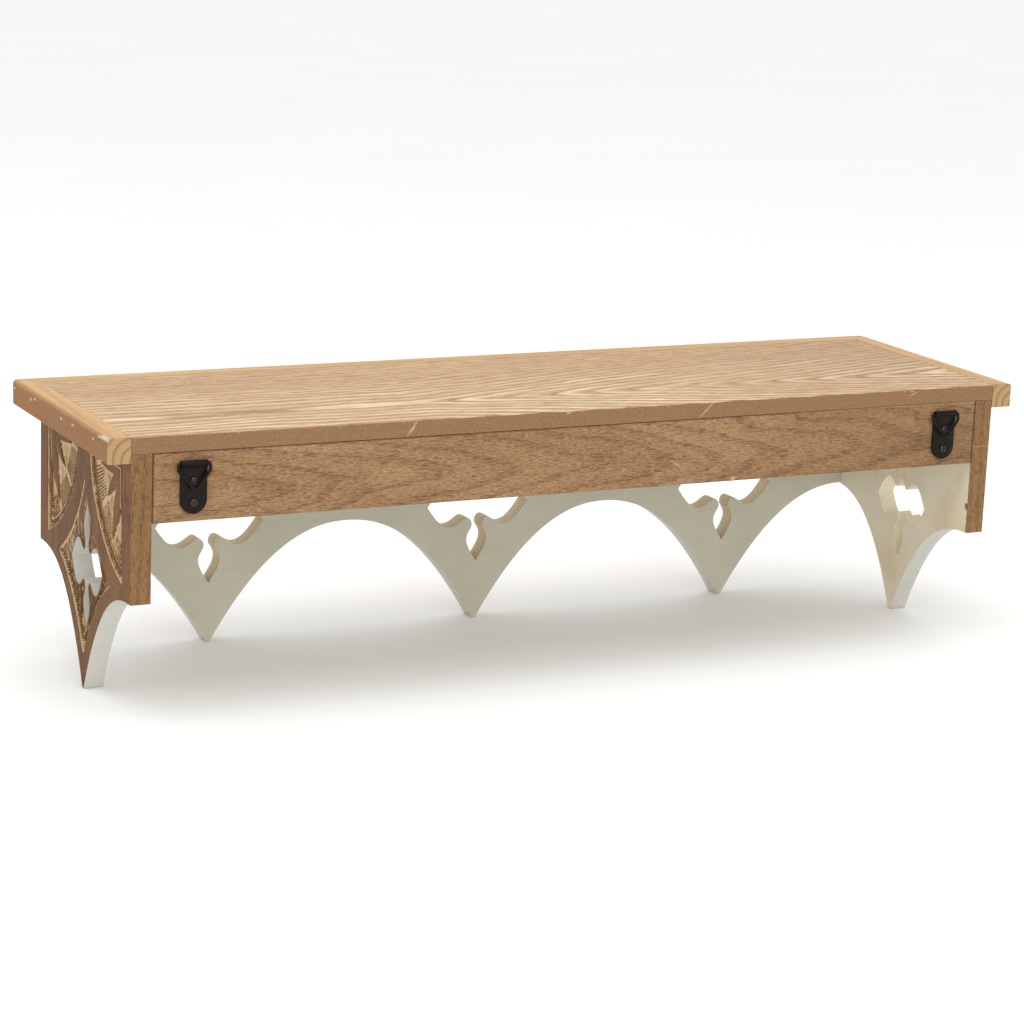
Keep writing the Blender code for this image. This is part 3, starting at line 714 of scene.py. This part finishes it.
def carvedRelief(across, down, toEdge, toOpening, strip):
    # height of the face in mm, 0 where it is left plain, and how much wash each point keeps
    cut = carving
    a = np.abs(across)
    corner = np.hypot(a - cut["cornerAcross"], down - cut["cornerDown"])
    bearing = np.arctan2(down - cut["cornerDown"], cut["cornerAcross"] - a)
    height = np.zeros_like(a)
    wash = np.zeros_like(a)
    run = cut["wallRun"]

    # pockets in the upper corners, with chiselled sloping walls
    arcRoom = cut["pocketRadius"] - corner
    sideRoom = strip - a
    room = np.minimum(np.minimum(arcRoom, sideRoom), down - cut["pocketTop"])
    alongRim = np.where(arcRoom <= sideRoom, bearing * cut["pocketRadius"], down)
    notch = 0.5 + 0.5 * np.cos(2 * np.pi * (alongRim / cut["notchPitch"] + room * 0.13))
    wall = stripe(0.3, run, room)
    rosetteX = min(strip, patternHalf)
    dx, dy = rosetteX - a, down - cut["pocketTop"]
    petals = np.full(a.shape, -50.0)
    for turn, length, halfWidth in cut["petals"]:
        cos, sin = math.cos(math.radians(turn)), math.sin(math.radians(turn))
        leaf = pointedLeaf(dx * cos + dy * sin, dy * cos - dx * sin, length, halfWidth)
        petals = np.maximum(petals, leaf)
    reach = np.hypot(dx, dy)
    strokes = 0.5 + 0.5 * np.cos(2 * np.pi * bearing * cut["pocketRadius"] / cut["strokePitch"])
    hatch = stripe(run + 3.2, 27, arcRoom, 1.0) * easeStep(-1.0, -2.5, petals) * easeStep(3, 7, sideRoom)
    grit = 0.5 + 0.5 * np.cos(2 * np.pi * down / cut["gritPitch"]) * np.cos(2 * np.pi * a / cut["gritPitch"])
    ground = cut["depth"] * (0.8 + 0.2 * easeStep(0, 60, reach))
    raised = easeStep(-0.4, 2.2, petals)
    floor = -ground + raised * (ground - 0.7) + hatch * strokes * 1.1
    floor += (1 - raised) * (1 - hatch) * grit * 0.35
    ridge = stripe(run + 0.8, run + 2.4, room, 0.6)
    floor = floor * (1 - ridge) + ridge * -1.3
    inPocket = easeStep(0, 0.1, room)
    pocket = floor * easeStep(0, run, room) - wall * notch * 0.75
    height += inPocket * pocket
    outline = stripe(-2.4, -0.2, petals, 0.5)
    field = 0.62 * (1 - raised) * (1 - hatch) + hatch * (0.95 - 0.85 * strokes)
    field = np.maximum(field, outline * 0.95)
    field = field * (1 - ridge * 0.85)
    inner = stripe(run + 3.4, run + 4.5, room, 0.4)
    field = np.maximum(field * (1 - 0.6 * stripe(run + 1.0, run + 6.5, room)), inner * 0.95)
    rim = stripe(0.1, 1.2, room, 0.3)
    field = np.where(room < run, np.maximum(rim * 0.9, wall * (0.2 + 0.36 * notch)), field)
    wash += inPocket * np.clip(field, 0, 1)

    # the recessed field round the opening: a thin line above, chiselled walls below
    upperRoom = corner - cut["fieldRadius"]
    lowerRoom = toEdge - cut["edgeBand"]
    inside = easeStep(0, 0.3, np.minimum(upperRoom, lowerRoom))
    drop = 0.5 + 2.1 * easeStep(85, 150, down)
    notch = 0.5 + 0.5 * np.cos(2 * np.pi * (down * 1.15 / cut["notchPitch"] + lowerRoom * 0.13))
    wall = stripe(0.3, run, lowerRoom) * easeStep(138, 150, down)
    ground = -drop * easeStep(0.4, 3.0, upperRoom) * easeStep(0, run, lowerRoom)
    ribs = 0.5 + 0.5 * np.cos(2 * np.pi * (a * 0.55 + down * 0.83) / cut["ribPitch"])
    ribbed = easeStep(140, 150, down) * easeStep(run + 2.0, run + 3.5, lowerRoom)
    ridge = stripe(run + 0.4, run + 1.8, lowerRoom, 0.5) * easeStep(142, 152, down)
    line = stripe(0.4, 1.9, upperRoom, 0.4)
    leaves = np.full(a.shape, -50.0)
    for startA, startD, endA, endD, halfWidth in cut["shoots"]:
        length = math.hypot(endA - startA, endD - startD)
        ca, cd = (endA - startA) / length, (endD - startD) / length
        along = (a - startA) * ca + (down - startD) * cd
        off = (down - startD) * ca - (a - startA) * cd
        leaves = np.maximum(leaves, pointedLeaf(along, off, length, halfWidth))
    raised = np.maximum(easeStep(-0.3, 1.2, leaves), ridge)
    collar = 1 - easeStep(2.0, 3.0, toOpening)
    groove = stripe(2.9, 4.3, toOpening, 0.5)
    ribbed = ribbed * (1 - raised) * (1 - collar)
    ground = ground - ribbed * ribs * 0.75 - line * 0.9 - groove * 0.5 - wall * notch * 0.7
    ground = ground + raised * (drop - 0.6) * easeStep(0, 1, drop)
    ground = ground * (1 - collar) + collar * -0.25
    height += inside * ground
    field = 0.2 + 0.25 * easeStep(95, 160, down)
    field = np.maximum(field, ribbed * (0.15 + 0.7 * ribs))
    field = np.maximum(field, stripe(-1.4, 0.1, leaves, 0.4) * 0.5)
    field = np.maximum(field, groove * 0.55)
    field = field * (1 - raised * 0.9) * (1 - collar)
    field = np.maximum(field, line)
    rim = stripe(0.1, 1.3, lowerRoom, 0.3) * easeStep(138, 146, down)
    field = np.maximum(np.maximum(field * (1 - wall), wall * (0.2 + 0.4 * notch)), rim * 0.85)
    wash += inside * np.clip(field, 0, 1)

    soften = (1 - easeStep(0, 1.0, toEdge)) * 0.35 + (1 - easeStep(0, 0.9, toOpening)) * 0.3
    return np.clip(height, -cut["deepest"], 0) - soften, np.clip(wash, 0, 1)


def archDrop(gap, reach, power):
    # the outline's drop and its slope, by how far a point is from the tip's shoulder
    along = np.clip(1 - gap / reach, 0, 1)
    rise = (panelCut["tipDrop"] - panelCut["edgeDrop"]) / mm
    return panelCut["edgeDrop"] / mm + rise * along**power, rise * power * along ** (power - 1) / reach


def reliefAt(across, down, half, power, tipFlat, width, strip, openingAcross=0.0):
    # across and down in mm, from one tip's centre line and from the top face
    a = np.abs(across)
    reach = half - tipFlat / mm / 2
    drop, slope = archDrop(np.maximum(a - tipFlat / mm / 2, 0), reach, power)
    toEdge = (drop - down) / np.sqrt(1 + slope**2)
    edge = loopPoints(leafCross(Vector((0, 0)), width)) / mm
    beside = np.abs(across - openingAcross)
    under = down - panelCut["openingDrop"] / mm
    near = (beside < carving["openingWindow"][0]) & (np.abs(under) < carving["openingWindow"][1])
    toOpening = np.full(a.shape, carving["farFromOpening"])
    # half the opening's outline is enough, as beside is measured from its middle
    toOpening[near] = nearestGap(beside[near], under[near], edge[edge[:, 0] > -1])
    return carvedRelief(across * patternHalf / half, down, toEdge, toOpening, strip)


def carveBlock(name, size, cells, placeOf):
    # a fine grid, carved in code, then drawn out backwards into a block
    deselectAll()
    bpy.ops.mesh.primitive_grid_add(x_subdivisions=cells[0], y_subdivisions=cells[1], size=1)
    block = bpy.context.object
    block.name = name
    points = readPoints(block.data)
    flat = (points[:, :2] + 0.5) * np.array(size)
    placed, backwards = placeOf(flat)
    writePoints(block.data, placed)
    bpy.ops.object.mode_set(mode="EDIT")
    bpy.ops.mesh.select_all(action="SELECT")
    bpy.ops.mesh.extrude_region_move(TRANSFORM_OT_translate={"value": backwards})
    bpy.ops.mesh.select_all(action="SELECT")
    bpy.ops.mesh.normals_make_consistent(inside=False)
    bpy.ops.object.mode_set(mode="OBJECT")
    return block


def trimToPanel(block, panel):
    applyModifier(block, "BOOLEAN", operation="INTERSECT", solver="MANIFOLD", object=panel)
    bpy.data.objects.remove(panel)
    faceOutwards(block)


def storeWash(mesh, values):
    layer = mesh.attributes.new("wash", "FLOAT", "POINT")
    layer.data.foreach_set("value", np.ascontiguousarray(values, np.float32))


def paintByNormal(mesh, materials, choose):
    mesh.materials.clear()
    for material in materials:
        mesh.materials.append(material)
    count = len(mesh.polygons)
    normals = np.empty(count * 3, np.float32)
    centres = np.empty(count * 3, np.float32)
    mesh.polygons.foreach_get("normal", normals)
    mesh.polygons.foreach_get("center", centres)
    slots = choose(normals.reshape(-1, 3), centres.reshape(-1, 3))
    mesh.polygons.foreach_set("material_index", np.ascontiguousarray(slots, np.int32))


def bracketRelief(depth, down):
    across = depth - patternHalf
    tipFlat = panelCut["bracketTipFlat"]
    shape = (patternHalf, panelCut["bracketPower"], tipFlat, panelCut["bracketWidthScale"])
    openingAcross = panelCut["bracketOpeningSetback"] / mm - patternHalf
    return reliefAt(across, down, *shape, carving["sideStrip"], openingAcross)


def carvedBracket(side, sign):
    low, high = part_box(side + "_bracket")
    outerX, innerX = (high.x, low.x) if sign > 0 else (low.x, high.x)
    middle = boardDepth / 2
    shoulder = middle - panelCut["bracketTipFlat"] / 2
    outline = [(0, high.z)]
    outline += archHalf(0, shoulder, panelCut["bracketPower"])
    outline += reversed(archHalf(boardDepth, boardDepth - shoulder, panelCut["bracketPower"]))
    outline.append((boardDepth, high.z))
    opening = Vector((panelCut["bracketOpeningSetback"], topZ - panelCut["openingDrop"]))
    loop = leafCross(opening, panelCut["bracketWidthScale"])
    thickness = abs(outerX - innerX) + panelCut["proud"]
    panel = flatPanel(side + "PanelBlank", outline, [loop], thickness)
    points = readPoints(panel.data)
    centreX = innerX + sign * thickness / 2
    placed = np.column_stack([centreX + sign * points[:, 2], -points[:, 0], points[:, 1]])
    writePoints(panel.data, placed)
    faceOutwards(panel)

    margin = carving["margin"]
    size = (boardDepth + 2 * margin, high.z - low.z + 2 * margin)
    cells = [round(length / carving["bracketCell"]) for length in size]

    def placeOf(flat):
        depth, up = flat[:, 0] - margin, flat[:, 1] - margin + low.z
        height = bracketRelief(depth / mm, (topZ - up) / mm)[0]
        placed = np.column_stack([outerX + sign * height * mm, -depth, up])
        return placed, (-sign * carving["blockDepth"], 0, 0)

    bracket = carveBlock("carvedBracket" + side.title(), size, cells, placeOf)
    trimToPanel(bracket, panel)
    points = readPoints(bracket.data)
    storeWash(bracket.data, bracketRelief(-points[:, 1] / mm, (topZ - points[:, 2]) / mm)[1])
    edge = loopPoints(leafCross(Vector((0, 0)), panelCut["bracketWidthScale"])) / mm

    def choose(normals, centres):
        carved = (normals[:, 0] * sign > 0.2) & (np.abs(centres[:, 0] - outerX) < carving["faceReach"])
        inside = normals[:, 0] * sign < -0.7
        cut = ~carved & ~inside
        beside, under = -centres[cut, 1] - opening.x, centres[cut, 2] - opening.y
        inOpening = nearestGap(beside / mm, under / mm, edge) < carving["openingPaintReach"]
        inside[cut] = inOpening & (sign < 0)
        wallEdge = centres[:, 1] > -carving["edgeReach"]
        frontEdge = centres[:, 1] < -boardDepth + carving["edgeReach"]
        return np.where(carved, 0, np.where(wallEdge | frontEdge, 2, np.where(inside, 1, 3)))

    paintByNormal(bracket.data, [carvedSide, insidePaint, edgeStain, edgePaint], choose)
    smoothByAngle(bracket, carving["creaseAngle"])
    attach(bracket, "shelf")
    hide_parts(side + "_bracket")
    print("carved", bracket.name, len(bracket.data.polygons), "faces")


for side, sign in sides.items():
    carvedBracket(side, sign)


def apronRelief(x, down, half):
    # one carved pattern to each bay; its pockets have a straight side only at the apron's two ends
    bays = panelCut["bays"]
    bay = 2 * half / bays
    index = np.clip(np.floor((x + half) / bay), 0, bays - 1)
    across = x + half - (index + 0.5) * bay
    atEnd = ((index == 0) & (across < 0)) | ((index == bays - 1) & (across > 0))
    height = np.zeros_like(x)
    wash = np.zeros_like(x)
    shape = (bay / 2, panelCut["apronPower"], panelCut["apronTipFlat"], 1.0)
    for chosen, strip in ((atEnd, carving["sideStrip"]), (~atEnd, carving["openStrip"])):
        height[chosen], wash[chosen] = reliefAt(across[chosen], down[chosen], *shape, strip)
    return height, wash


def carvedApron():
    low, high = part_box("front_apron")
    half = (high.x - low.x) / 2
    bay = 2 * half / panelCut["bays"]
    reach = bay / 2 - panelCut["apronTipFlat"] / 2
    outline = [(-half, high.z)]
    loops = []
    for index in range(panelCut["bays"]):
        tipX = -half + bay * (index + 0.5)
        falling = archHalf(tipX - bay / 2, tipX - bay / 2 + reach, panelCut["apronPower"])
        rising = archHalf(tipX + bay / 2, tipX + bay / 2 - reach, panelCut["apronPower"])[::-1]
        outline += falling if index == 0 else falling[1:]
        outline += rising
        loops.append(leafCross(Vector((tipX, topZ - panelCut["openingDrop"])), 1.0))
    outline.append((half, high.z))
    thickness = high.y - low.y + panelCut["proud"]
    panel = flatPanel("apronBlank", outline, loops, thickness)
    points = readPoints(panel.data)
    centreY = high.y - thickness / 2
    writePoints(panel.data, np.column_stack([points[:, 0], centreY + points[:, 2], points[:, 1]]))
    faceOutwards(panel)

    margin = carving["margin"]
    size = (2 * half + 2 * margin, high.z - low.z + 2 * margin)
    cells = [round(length / carving["apronCell"]) for length in size]

    def placeOf(flat):
        x, up = flat[:, 0] - margin - half, flat[:, 1] - margin + low.z
        height = apronRelief(x / mm, (topZ - up) / mm, half / mm)[0]
        return np.column_stack([x, low.y - height * mm, up]), (0, carving["blockDepth"], 0)

    apron = carveBlock("carvedApron", size, cells, placeOf)
    trimToPanel(apron, panel)
    points = readPoints(apron.data)
    storeWash(apron.data, apronRelief(points[:, 0] / mm, (topZ - points[:, 2]) / mm, half / mm)[1])
    edge = loopPoints(leafCross(Vector((0, 0)), 1.0)) / mm

    def choose(normals, centres):
        carved = (normals[:, 1] < -0.2) & (np.abs(centres[:, 1] - low.y) < carving["faceReach"])
        cut = ~carved & (np.abs(normals[:, 1]) < 0.5)
        across = np.mod(centres[:, 0] + half, bay) - bay / 2
        under = panelCut["openingDrop"] - topZ + centres[:, 2]
        inOpening = np.zeros(len(centres), bool)
        gap = nearestGap(across[cut] / mm, under[cut] / mm, edge)
        inOpening[cut] = gap < carving["openingPaintReach"]
        return np.where(carved, 0, np.where(inOpening, 3, np.where(cut, 2, 1)))

    paintByNormal(apron.data, [carvedFront, backPaint, edgePaint, openingPaint], choose)
    smoothByAngle(apron, carving["creaseAngle"])
    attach(apron, "shelf")
    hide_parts("front_apron")
    print("carved", apron.name, len(apron.data.polygons), "faces")


carvedApron()

hanger = {
    "edgeRound": 0.00028,
    "roundSegments": 2,
    "headSegments": 40,
    "headRise": 0.0018,
    "headBase": 0.0004,
    "headRings": 6,
    "recessArm": 0.0021,
    "recessHalf": 0.00045,
    "recessDeep": 0.0016,  # the cutter's whole depth, half of it in the head
}


def copyNode(nodeName, name, material):
    # a merged copy of a frame piece, to be shaped further
    piece = bpy.data.objects.new(name, nodes[nodeName].data.copy())
    bpy.context.scene.collection.objects.link(piece)
    piece.data.materials.clear()
    piece.data.materials.append(material)
    faceOutwards(piece)
    return piece


def foldedStrap(side):
    strap = copyNode(side + "_hanger_strap", "foldedStrap" + side.title(), iron)
    applyModifier(strap, "DECIMATE", decimate_type="DISSOLVE", angle_limit=math.radians(3))
    rounding = {"width": hanger["edgeRound"], "segments": hanger["roundSegments"]}
    applyModifier(strap, "BEVEL", limit_method="ANGLE", angle_limit=math.radians(50), **rounding)
    smoothByAngle(strap, 40)
    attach(strap, "shelf")
    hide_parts(side + "_hanger_strap")


def hangerRing(side):
    ring = copyNode(side + "_hanger_ring", "hangerRing" + side.title(), iron)
    applyModifier(ring, "SUBSURF", levels=1, render_levels=1)
    smoothByAngle(ring, 60)
    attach(ring, side + "_ring")
    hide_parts(side + "_hanger_ring")


def screwHead(side, level):
    name = f"{side}_hanger_screw_{level}"
    low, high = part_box(name)
    centre = (low + high) / 2
    radius = (high.x - low.x) / 2
    rise, base, rings = hanger["headRise"], hanger["headBase"], hanger["headRings"]
    deselectAll()
    bpy.ops.mesh.primitive_cylinder_add(
        vertices=hanger["headSegments"],
        radius=radius,
        depth=base,
        location=(centre.x, high.y - rise + base / 2, centre.z),
        rotation=(-math.pi / 2, 0, 0),
    )
    screw = bpy.context.object
    screw.name = f"{side}Screw{level.title()}"
    settle(screw)
    selectFacing(screw, Vector((0, 1, 0)))
    for ring in range(1, rings + 1):  # the round head, one ring at a time
        before, after = (math.pi / 2 * (index / (rings + 0.6)) for index in (ring - 1, ring))
        lift = (rise - base) * (math.sin(after) - math.sin(before))
        bpy.ops.mesh.inset(thickness=radius * (math.cos(before) - math.cos(after)))
        bpy.ops.transform.translate(value=(0, lift, 0))
    bpy.ops.object.mode_set(mode="OBJECT")
    for turn in (0, math.pi / 2):  # the cross recess
        deselectAll()
        spot = (centre.x, high.y, centre.z)
        bpy.ops.mesh.primitive_cube_add(size=1, location=spot, rotation=(0, turn, 0))
        cutter = bpy.context.object
        cutter.scale = (2 * hanger["recessArm"], hanger["recessDeep"], 2 * hanger["recessHalf"])
        settle(cutter)
        applyModifier(screw, "BOOLEAN", operation="DIFFERENCE", solver="EXACT", object=cutter)
        bpy.data.objects.remove(cutter)
    screw.data.materials.clear()
    screw.data.materials.append(screwIron)
    smoothByAngle(screw, 35)
    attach(screw, "shelf")
    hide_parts(name)


for side in sides:
    foldedStrap(side)
    hangerRing(side)
    for level in ("upper", "lower"):
        screwHead(side, level)
print("hangers made")

plug = {"radius": 0.00145, "depth": 0.0014, "segments": 20, "crown": 0.00025, "rings": 2, "ringWidth": 0.35}


def puttyPlug(name, spot, outward):
    # filler over one sunk nail, a little proud of the trim
    deselectAll()
    turn = outward.to_track_quat("Z", "Y").to_euler()
    centre = spot - outward * plug["depth"] / 2
    shape = {"vertices": plug["segments"], "radius": plug["radius"], "depth": plug["depth"]}
    bpy.ops.mesh.primitive_cylinder_add(location=centre, rotation=turn, **shape)
    filler = bpy.context.object
    filler.name = name
    settle(filler)
    selectFacing(filler, outward)
    for ring in range(plug["rings"]):
        bpy.ops.mesh.inset(thickness=plug["radius"] * plug["ringWidth"])
        bpy.ops.transform.translate(value=outward * plug["crown"] / plug["rings"])
    bpy.ops.object.mode_set(mode="OBJECT")
    filler.data.materials.append(putty)
    smoothByAngle(filler, 50)
    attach(filler, "shelf")


trimFaces = {"front": (1, -1), "left": (0, -1), "right": (0, 1)}  # the axis and side that each trim faces
for trim, (axis, way) in trimFaces.items():
    trimLow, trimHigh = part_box(trim + "_trim")
    outward = Vector((0, 0, 0))
    outward[axis] = way
    for name in nodes:
        if name.startswith(trim + "_trim_nail"):
            low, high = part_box(name)
            spot = (low + high) / 2
            spot[axis] = (trimHigh if way > 0 else trimLow)[axis]
            puttyPlug(f"{trim}Plug{name[-1]}", spot, outward)
print("nail plugs made")

studio = {
    "floorSize": 30,
    "floorGap": 0.0005,
    "floorTones": ((0.9, 0.9, 0.89, 1), (0.94, 0.94, 0.93, 1)),
    "worldStrength": 1.0,
    "aim": (0.0087, -0.1348, -0.1184),
    "distance": 2.8765,
    "azimuth": 153.13,
    "elevation": 13.50,
    "roll": 2.33,
    "lens": 106.9,
    "sensor": 36,
    "lamps": {  # place, size and power
        "topSoftbox": ((0.3, 0.2, 2.2), 2.2, 26),
        "wallSideSoftbox": ((0.2, 3.0, 1.2), 2.0, 22),
        "sideSoftbox": ((3.0, -0.2, 0.9), 1.6, 3),
    },
}

deselectAll()
bpy.ops.mesh.primitive_plane_add(size=studio["floorSize"], location=(0, 0, cadBox[0][2] - studio["floorGap"]))
floor = bpy.context.object
floor.name = "paleFloor"
settle(floor)
floorMaterial, floorShader, floorPlace = newMaterial("paleFloorPaint")
floorCloud = floorPlace.noise(3.0, 2.0)
floorTone = blendColours(floorCloud, *studio["floorTones"])
finishMaterial(floorShader, floorTone, 0.7 + floorCloud * 0.1, floorCloud, 0.0001)
floor.data.materials.append(floorMaterial)

world = bpy.data.worlds.new("softStudio")
world.use_nodes = True
world.node_tree.nodes["Background"].inputs["Color"].default_value = (1, 1, 1, 1)
world.node_tree.nodes["Background"].inputs["Strength"].default_value = studio["worldStrength"]
bpy.context.scene.world = world
bpy.context.scene.view_settings.view_transform = "Standard"

aim = Vector(studio["aim"])
for name, (place, size, power) in studio["lamps"].items():
    lamp = bpy.data.lights.new(name, "AREA")
    lamp.shape = "SQUARE"
    lamp.size = size
    lamp.energy = power
    holder = bpy.data.objects.new(name, lamp)
    holder.location = place
    holder.rotation_euler = (aim - Vector(place)).to_track_quat("-Z", "Y").to_euler()
    bpy.context.scene.collection.objects.link(holder)

azimuth, elevation = math.radians(studio["azimuth"]), math.radians(studio["elevation"])
out = math.cos(elevation)
towards = Vector((math.sin(azimuth) * out, -math.cos(azimuth) * out, math.sin(elevation)))
cameraData = bpy.data.cameras.new("productCamera")
cameraData.lens = studio["lens"]
cameraData.sensor_width = studio["sensor"]
camera = bpy.data.objects.new("productCamera", cameraData)
camera.location = aim + towards * studio["distance"]
upright = (-towards).to_track_quat("-Z", "Y")
camera.rotation_euler = (upright @ Quaternion((0, 0, 1), math.radians(studio["roll"]))).to_euler()
bpy.context.scene.collection.objects.link(camera)
bpy.context.scene.camera = camera
print("studio set")
